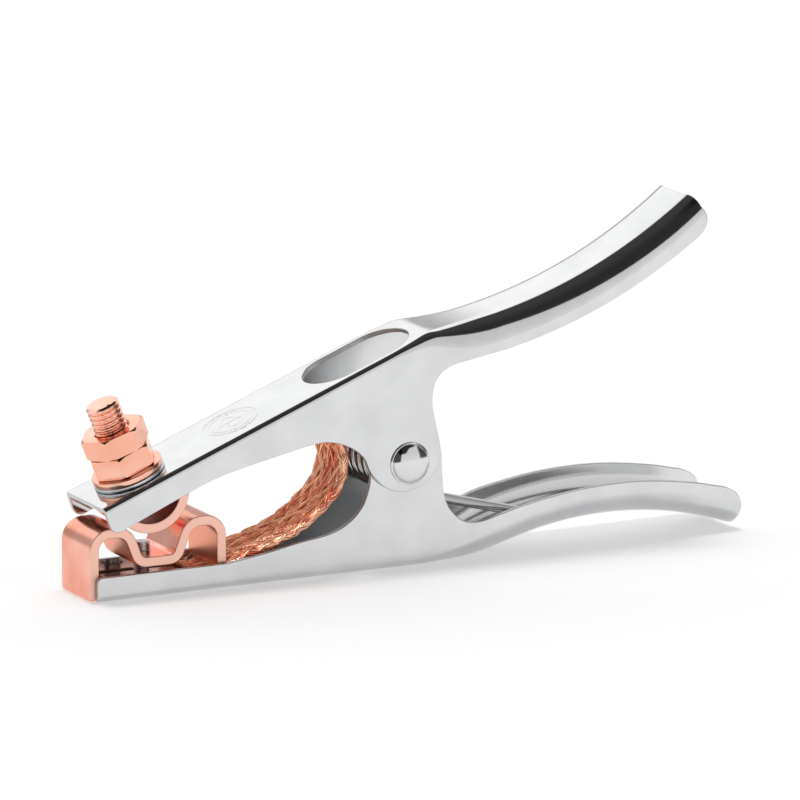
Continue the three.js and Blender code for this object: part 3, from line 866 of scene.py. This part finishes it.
LOWER_LUG_FRONT, LOWER_LUG_BACK, LOWER_LUG_THICK, SCREW_BORE = -90, -66, 1.6, 3.2
lower_lug = lug(
    "braid_end_lower", (LOWER_LUG_FRONT, 0), (LOWER_LUG_BACK, 0), LUG_WIDTH, LOWER_LUG_THICK,
    SCREW_X - LOWER_LUG_FRONT, SCREW_BORE, SHEET + GAP,
)  # fmt: skip
finish_piece(lower_lug, COPPER_MAT, "lower", "braid_lug_lower")
UPPER_LUG_FRONT, UPPER_LUG_BACK = 7.5, 30.2
upper_lug = lug(
    "braid_end_upper", upper_point(UPPER_LUG_FRONT, 0), upper_point(UPPER_LUG_BACK, 0), LUG_WIDTH, LUG_THICK,
    TERMINAL_AT - UPPER_LUG_FRONT, STUD_BORE, -(SHEET + GAP + LUG_THICK),
)  # fmt: skip
finish_piece(upper_lug, COPPER_MAT, "upper", "braid_lug_upper")


# ---- things on the stud ----
def on_web(along, above):
    """Places local points on the upper web, with z square to it."""

    def place(v):
        x, z = upper_point(v[:, 0] + along, v[:, 2] + above)
        return np.stack([x, v[:, 1], z], 1)

    return place


def upright(x, y, z):
    return lambda v: v + [x, y, z]


def threaded(name, place, z0, z1, crest, root, pitch, chamfer, sides=72, per_pitch=14):
    """Threaded rod from z0 to z1 with a chamfered top; pitch and chamfer are in millimetres too."""
    steps = int((z1 - z0) / pitch * per_pitch)
    z = np.linspace(z0, z1, steps + 1)
    a = np.arange(sides) * 2 * math.pi / sides
    zz, aa = np.meshgrid(z, a, indexing="ij")
    phase = (zz / pitch - aa / (2 * math.pi)) % 1.0
    wave = 0.5 + 0.5 * np.cos(2 * math.pi * phase)
    wave = smooth(wave, 0.08, 0.86)
    r = root + (crest - root) * wave
    r = np.minimum(r, crest - chamfer + (z1 - zz))
    verts = np.stack([r * np.cos(aa), r * np.sin(aa), zz], 2).reshape(-1, 3)
    faces = walls(steps + 1, sides)
    flat_share = 0.6  # of the top face's radius
    last = steps * sides
    cap = len(verts)
    ring = verts[last : last + sides] * [flat_share, flat_share, 1]
    verts = np.vstack([verts, ring, [[0, 0, z1]], [[0, 0, z0]]])
    for k in range(sides):
        m = (k + 1) % sides
        faces.append((last + k, last + m, cap + m, cap + k))
        faces.append((cap + k, cap + m, cap + sides))
        faces.append((m, k, cap + sides + 1))
    obj = new_object(name, place(verts), faces)
    set_sharp(obj, 40)
    return obj


def hex_nut(name, above, turn):
    """Hexagon nut with both faces chamfered and the bore countersunk."""
    high, bore, chamfer = NUT_HIGH, STUD_BORE, 0.9
    sink_deep, sink_wide, least = 0.5, 0.55, 0.02
    face_r = NUT_ACROSS / math.sqrt(3) - chamfer
    slope = math.tan(30 * DEG)
    per_side = 16
    angles = [side * 60 + 60 * i / per_side for side in range(6) for i in range(per_side)]
    verts = []
    for deg in angles:
        a = deg * DEG
        local_angle = (deg % 60 - 30) * DEG
        r = NUT_ACROSS / 2 / math.cos(local_angle)
        drop = max((r - face_r) * slope, least)
        c, s = math.cos(a + (turn - 30) * DEG), math.sin(a + (turn - 30) * DEG)
        top_r = min(face_r, r - least)
        bore_out = bore + sink_wide
        for rad, z in (
            (bore, sink_deep), (bore_out, 0), (top_r, 0), (r, drop),
            (r, high - drop), (top_r, high), (bore_out, high), (bore, high - sink_deep),
        ):  # fmt: skip
            verts.append((rad * c, rad * s, z))
    rows = 8
    n = len(angles)
    faces = []
    for i in range(n):
        j = (i + 1) % n
        for k in range(rows):
            m = (k + 1) % rows
            faces.append((i * rows + k, j * rows + k, j * rows + m, i * rows + m))
    obj = new_object(name, on_web(TERMINAL_AT, above)(np.array(verts)), faces)
    set_sharp(obj, 12)
    bevel(obj, 0.16, 3, 17)
    return obj


TOUCH = 0.15  # clearance between neighbours on the stud
STEEL_WASHER, COPPER_WASHER = 1.1, 1.7  # thickness
CLAMP_NUT_TURN, TERMINAL_NUT_TURN = 34, 21  # degrees
copper_washer_at = TOUCH + STEEL_WASHER + TOUCH
clamp_nut_at = copper_washer_at + COPPER_WASHER + TOUCH
terminal_nut_at = clamp_nut_at + NUT_HIGH + TOUCH


def washer(name, radius, thick, above):
    corners = [(STUD_BORE, 0), (radius, 0), (radius, thick), (STUD_BORE, thick), (STUD_BORE, 0)]
    profile = rounded(corners, EDGE)
    return lathe(name, profile, 96, on_web(TERMINAL_AT, above), 40)


steel_washer = washer("steel_washer_ring", 10.7, STEEL_WASHER, TOUCH)
finish_piece(steel_washer, ZINC, "upper", "steel_washer")
copper_washer = washer("copper_washer_ring", 10.6, COPPER_WASHER, copper_washer_at)
finish_piece(copper_washer, COPPERED, "upper", "copper_washer")
clamp_nut = hex_nut("clamp_nut_hex", clamp_nut_at, CLAMP_NUT_TURN)
finish_piece(clamp_nut, COPPERED, "upper", "clamp_nut")
terminal_nut = hex_nut("terminal_nut_hex", terminal_nut_at, TERMINAL_NUT_TURN)
finish_piece(terminal_nut, COPPERED, "nut", "terminal_nut")

head_top = -(SHEET + GAP + LUG_THICK + GAP + COPPER + GAP)
STUD_HEAD, STUD_HEAD_HIGH = 6.2, 2.6
stud = threaded(
    "stud_thread", on_web(TERMINAL_AT, 0), head_top, STUD_TOP, crest=4.92, root=4.25, pitch=1.5, chamfer=0.6
)
finish_piece(stud, COPPERED, "upper", "terminal_bolt")
head_low = head_top - STUD_HEAD_HIGH
bolt_profile = rounded([(0, head_low), (STUD_HEAD, head_low), (STUD_HEAD, head_top), (0, head_top)], 0.5)
bolt_head = lathe("stud_head", bolt_profile, 64, on_web(TERMINAL_AT, 0), 40)
finish_piece(bolt_head, COPPERED, "upper", None)

jaw_screw = threaded(
    "jaw_screw_thread", upright(SCREW_X, 0, 0), 2.2, SCREW_TOP, crest=SCREW_SHANK, root=2.08, pitch=0.8,
    chamfer=0.4, sides=48, per_pitch=12,
)  # fmt: skip
finish_piece(jaw_screw, ZINC, "lower", "jaw_screw")
screw_profile = [(0, 0.05), (SCREW_HEAD, 0.05), (SCREW_HEAD, 0.35), (SCREW_SHANK, 2.3), (0, 2.3)]
countersunk = lathe("jaw_screw_head", rounded(screw_profile, 0.12), 64, upright(SCREW_X, 0, 0), 30)
finish_piece(countersunk, ZINC, "lower", None)


# ---- pivot ----
def across(v):
    """Local z becomes y through the pivot axis."""
    return np.stack([v[:, 0], v[:, 2], PIVOT_Z - v[:, 1]], 1)


def build_rivet():
    seat, head, shank, dome, rim, steps = UPPER_HALF + 0.12, 6.3, 4.0, 3.0, 0.45, 14
    half = []
    for i in range(steps + 1):
        t = i / steps * math.pi / 2
        half.append(((head - 0.4) * math.sin(t), seat + rim + (dome - rim) * math.cos(t)))
    half += [(head - 0.12, seat + rim - 0.05), (head, seat + rim - 0.2), (head, seat + 0.1)]
    half += [(head - 0.1, seat), (shank, seat)]
    profile = [(r, -y) for r, y in half] + half[::-1]
    return lathe("rivet_body", profile, 72, across, 50)


finish_piece(build_rivet(), SMOOTH_STEEL, "lower", "pivot_rivet")
SLEEVE_RADIUS, SLEEVE_HALF = 6.1, 9.7
sleeve_wall = [
    (RIVET_BORE, -SLEEVE_HALF), (SLEEVE_RADIUS, -SLEEVE_HALF), (SLEEVE_RADIUS, SLEEVE_HALF),
    (RIVET_BORE, SLEEVE_HALF), (RIVET_BORE, -SLEEVE_HALF),
]  # fmt: skip
sleeve = rounded(sleeve_wall, EDGE)
finish_piece(lathe("sleeve_tube", sleeve, 64, across, 40), ZINC, "lower", "pivot_sleeve")


def build_spring():
    """Coil round the pivot with one straight leg along each grip, and half of the coil's length."""
    radius, wire, pitch = 9.0, 1.55, 4.1
    low, low_leg, high, high_leg = -15, 48, 42, 40  # directions in degrees, lengths of the legs
    start = low - 90
    wind = 3 * 360 + (start - (high + 90) + 360)
    half = wind / 360 * pitch / 2

    def at(deg):
        return np.array([radius * math.cos(deg * DEG), PIVOT_Z + radius * math.sin(deg * DEG)])

    route = []
    p = at(start)
    d = np.array([math.cos(low * DEG), math.sin(low * DEG)])
    for reach in np.linspace(low_leg, 1, 26):
        q = p + reach * d
        route.append((q[0], -half, q[1]))
    steps = int(wind / 6)
    for i in range(steps + 1):
        q = at(start - wind * i / steps)
        route.append((q[0], half * (2 * i / steps - 1), q[1]))
    p = at(high + 90)
    d = np.array([math.cos(high * DEG), math.sin(high * DEG)])
    for reach in np.linspace(1, high_leg, 20):
        q = p + reach * d
        route.append((q[0], half, q[1]))
    tail = catmull([route[-2], route[-1], (29.5, half, 67.2), (37, half, 69.0)], 8)
    route += [tuple(q) for q in tail[9:]]
    return tube("spring_wire", route, wire, 20), half


spring, half_coil = build_spring()
finish_piece(spring, SPRING, None, "torsion_spring")
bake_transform(spring)


# ---- copper braid ----
def braid_route():
    upper_end = -(SHEET + GAP + BRAID_THICK / 2)
    points = [
        (-65.7, SHEET + 2.0), (-61.5, 3.6), (-57, 5), (-51, 8), (-43.5, 10.2), (-34.5, 13.6), (-26.5, 19),
        (-20.4, 25.6), (-18.5, 32.5), (-20.9, 40.4), (-28.5, 45.8), (-38.5, 46.2), (-50, 42.6),
        upper_point(38.2, upper_end), upper_point(30.5, upper_end),
    ]  # fmt: skip
    return even(catmull(points, 40, True), 0.4, False)


def build_braid():
    """Flat woven strap of fine wires round a core whose dark colour is painted shade, seen in the gaps.
    Each bundle of wires runs slantwise over one face, round the edge and back under it; half of the
    bundles turn the other way."""
    route = braid_route()
    t = unit(np.gradient(route, axis=0))
    at = run_along(route)
    length = at[-1]
    carriers, wires, wire_pitch, wire_radius, wire_flat = 16, 4, 0.52, 0.34, 0.6
    lift_high = 0.3
    half_t = BRAID_THICK / 2 - lift_high - wire_radius * wire_flat - 0.06
    half_w = BRAID_WIDTH / 2 - BRAID_THICK / 2
    flat, bend_len = 2 * half_w, math.pi * half_t
    girth = 2 * (flat + bend_len)
    lay = 96.0  # length along the strap for one full turn of a bundle
    n, sides, core_sides, core_depth = 122, 6, 48, 0.4
    s = np.linspace(0, length, n)
    x, z = np.interp(s, at, route[:, 0]), np.interp(s, at, route[:, 1])
    tx, tz = np.interp(s, at, t[:, 0]), np.interp(s, at, t[:, 1])
    rng = np.random.default_rng(11)
    verts, faces, core, tint = [], [], [], []

    def around(g, r):
        """Points on the flat oval at way g round it, thickness 2r: across, up, and the way out of each."""
        g = np.mod(g, girth)
        q = np.where(g < flat + bend_len, g, g - flat - bend_len)
        turn = np.maximum(q - flat, 0) / half_t
        side = np.where(g < flat + bend_len, 1, -1)
        out_y, out_h = side * np.sin(turn), side * np.cos(turn)
        return side * (np.minimum(q, flat) - half_w) + r * out_y, r * out_h, out_y, out_h

    def skin(rows, count, is_core, shade):
        """Joins rows of points, count round each, into a closed tube."""
        faces.extend(closed_tube(len(rows), count, sum(len(v) for v in verts)))
        verts.append(rows.reshape(-1, 3))
        core.append(np.full(len(rows) * count, float(is_core)))
        tint.append(np.full(len(rows) * count, shade))

    def ripple(amount, low, high):
        return amount * np.sin(s * rng.uniform(low, high) + rng.uniform(0, 2 * math.pi))

    for direction in (1, -1):
        for c in range(carriers):
            start = girth * (c + (0.25 if direction < 0 else 0)) / carriers
            drift = ripple(0.2, 0.3, 0.6) + ripple(0.12, 0.9, 1.3)
            phase = s / lay * carriers + c % 2
            bundle_shade = rng.uniform(0, 0.3)
            for w in range(wires):
                off = w - (wires - 1) / 2
                g = start + direction * girth * s / lay + drift + off * wire_pitch + ripple(0.16, 0.5, 1.4)
                lift = lift_high * np.cos(math.pi * phase) * direction - 0.1 * off * off
                lift = lift + ripple(0.08, 0.8, 1.6)
                y, h, oy, oh = around(g, half_t + lift)
                centre = np.stack([x - tz * h, y, z + tx * h], 1)
                outward = np.stack([-tz * oh, oy, tx * oh], 1)
                tangent = unit(np.gradient(centre, axis=0))
                outward = unit(outward - tangent * np.sum(outward * tangent, axis=1, keepdims=True))
                sideways = np.cross(outward, tangent)
                rows = [
                    centre + wire_radius * (math.cos(a) * sideways + wire_flat * math.sin(a) * outward)
                    for a in 2 * math.pi * np.arange(sides) / sides
                ]
                shade = min(1.0, bundle_shade + rng.choice([0.0, 0.1, 0.3, 0.8]))
                skin(np.stack(rows, 1), sides, False, shade)
    # the core, coloured as painted shade where it shows between the wires
    ways = np.arange(core_sides) * girth / core_sides
    y, h, _, _ = around(ways, half_t - core_depth)
    core_rows = [np.stack([x - tz * b, np.full(n, a), z + tx * b], 1) for a, b in zip(y, h)]
    skin(np.stack(core_rows[::-1], 1), core_sides, True, 1.0)
    obj = new_object("braid_weave", np.vstack(verts), faces)
    return mark(obj, core=np.concatenate(core), tint=np.concatenate(tint))


braid = build_braid()
finish_piece(braid, WEAVE, None, "copper_braid")
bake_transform(braid)


# ---- floor, light, camera ----
def build_floor():
    mesh = bpy.data.meshes.new("floor")
    half, z = 6.0, -0.0002
    corners = [(-half, -half, z), (half, -half, z), (half, half, z), (-half, half, z)]
    mesh.from_pydata(corners, [], [(0, 1, 2, 3)])
    obj = add_object("floor", mesh)
    mat = bpy.data.materials.new("floor_paper")
    mat.use_nodes = True
    bsdf = mat.node_tree.nodes["Principled BSDF"]
    bsdf.inputs["Base Color"].default_value = (0.84, 0.84, 0.84, 1)
    bsdf.inputs["Roughness"].default_value = 0.9
    bsdf.inputs["Specular IOR Level"].default_value = 0.1
    mesh.materials.append(mat)


build_floor()

world = bpy.data.worlds.new("studio")
bpy.context.scene.world = world
world.use_nodes = True
wn = world.node_tree
background = wn.nodes["Background"]


def calc(operation, *values):
    return math_node(wn, operation, *values)


def clamped(value):
    node = wn.nodes.new("ShaderNodeClamp")
    wn.links.new(value, node.inputs["Value"])
    return node.outputs["Result"]


def ramp_node(value, stops):
    node = wn.nodes.new("ShaderNodeValToRGB")
    elements = node.color_ramp.elements
    while len(elements) > 1:
        elements.remove(elements[-1])
    elements[0].position, elements[0].color = stops[0][0], (stops[0][1],) * 3 + (1,)
    for position, level in stops[1:]:
        elements.new(position).color = (level, level, level, 1)
    wn.links.new(value, node.inputs["Fac"])
    return node.outputs["Color"]


def build_studio():
    """White wall behind, light grey room in front, dark ceiling. Ramp values are halves of the light."""
    coord = wn.nodes.new("ShaderNodeTexCoord")
    split = wn.nodes.new("ShaderNodeSeparateXYZ")
    wn.links.new(coord.outputs["Generated"], split.inputs["Vector"])
    x, y, z = split.outputs
    wall = ramp_node(z, [(0.0, 0.3), (0.29, 0.26), (0.37, 0.62), (1.0, 0.64)])
    room = ramp_node(z, [(0.0, 0.46), (0.35, 0.4), (0.8, 0.37)])
    behind = calc("MULTIPLY_ADD", y, 2.0, 0.5)
    # dark ends of the room, to the left and right, above the floor and in front of the object
    ends = ramp_node(calc("MULTIPLY_ADD", x, 0.5, 0.5), [(0.3, 0.9), (0.34, 0), (0.83, 0), (0.87, 0.9)])
    front = calc("MULTIPLY_ADD", y, -5.0, 1.0)
    above = calc("MULTIPLY_ADD", z, 12.0, 0.3)
    wings = calc("MULTIPLY", clamped(front), calc("MULTIPLY", clamped(above), ends))
    # the dark ceiling, which comes lower in front on the left
    left = clamped(calc("MULTIPLY_ADD", x, -4.0, 1.0))
    lower = calc("MULTIPLY", clamped(calc("MULTIPLY", y, -0.42)), left)
    tilt = calc("ADD", calc("MULTIPLY_ADD", y, 0.089, z), lower)
    ceiling = ramp_node(tilt, [(0.755, 1.0), (0.795, 0.045)])
    under_ceiling = mix_node(wn, 1.0, mix_node(wn, behind, room, wall), ceiling, "MULTIPLY")
    wn.links.new(mix_node(wn, wings, under_ceiling, (0, 0, 0, 1)), background.inputs["Color"])
    background.inputs["Strength"].default_value = 2.0


build_studio()


def soft_sun(name, strength, angle, toward, shadow=True, only=None):
    """Large soft light from overhead. It stays out of the reflections, unless it is for one piece only."""
    data = bpy.data.lights.new(name, "SUN")
    data.energy = strength
    data.angle = angle * DEG
    data.use_shadow = shadow
    obj = add_object(name, data)
    obj.rotation_euler = Vector(toward).to_track_quat("-Z", "Y").to_euler()
    obj.visible_glossy = only is not None
    if only is not None:
        lit = bpy.data.collections.new(name + "_receivers")
        lit.objects.link(only)
        obj.light_linking.receiver_collection = lit


soft_sun("overhead", 0.85, 12, (-0.02, -0.14, -1))
soft_sun("fill", 1.75, 60, (0, -0.05, -1), shadow=False)
soft_sun("glint", 5.0, 40, (0.45, 0.1, -1), only=braid)

FOCAL_PX = 8550.0
IMAGE_PX = 800
DISTANCE = 2.5
SENSOR = 36.0
TARGET = Vector((-1.265 * MM, -0.236 * MM, 47.31 * MM))
BACK = Vector((-0.4432, -0.8699, 0.2164)).normalized()
camera = bpy.data.cameras.new("camera")
camera.sensor_width = SENSOR
camera.lens = FOCAL_PX / IMAGE_PX * SENSOR
camera.clip_start = 0.05
camera.clip_end = 50
camera_object = add_object("camera", camera)
camera_object.location = TARGET + DISTANCE * BACK
camera_object.rotation_euler = (-BACK).to_track_quat("-Z", "Y").to_euler()
bpy.context.scene.camera = camera_object
bpy.context.scene.view_settings.view_transform = "Standard"
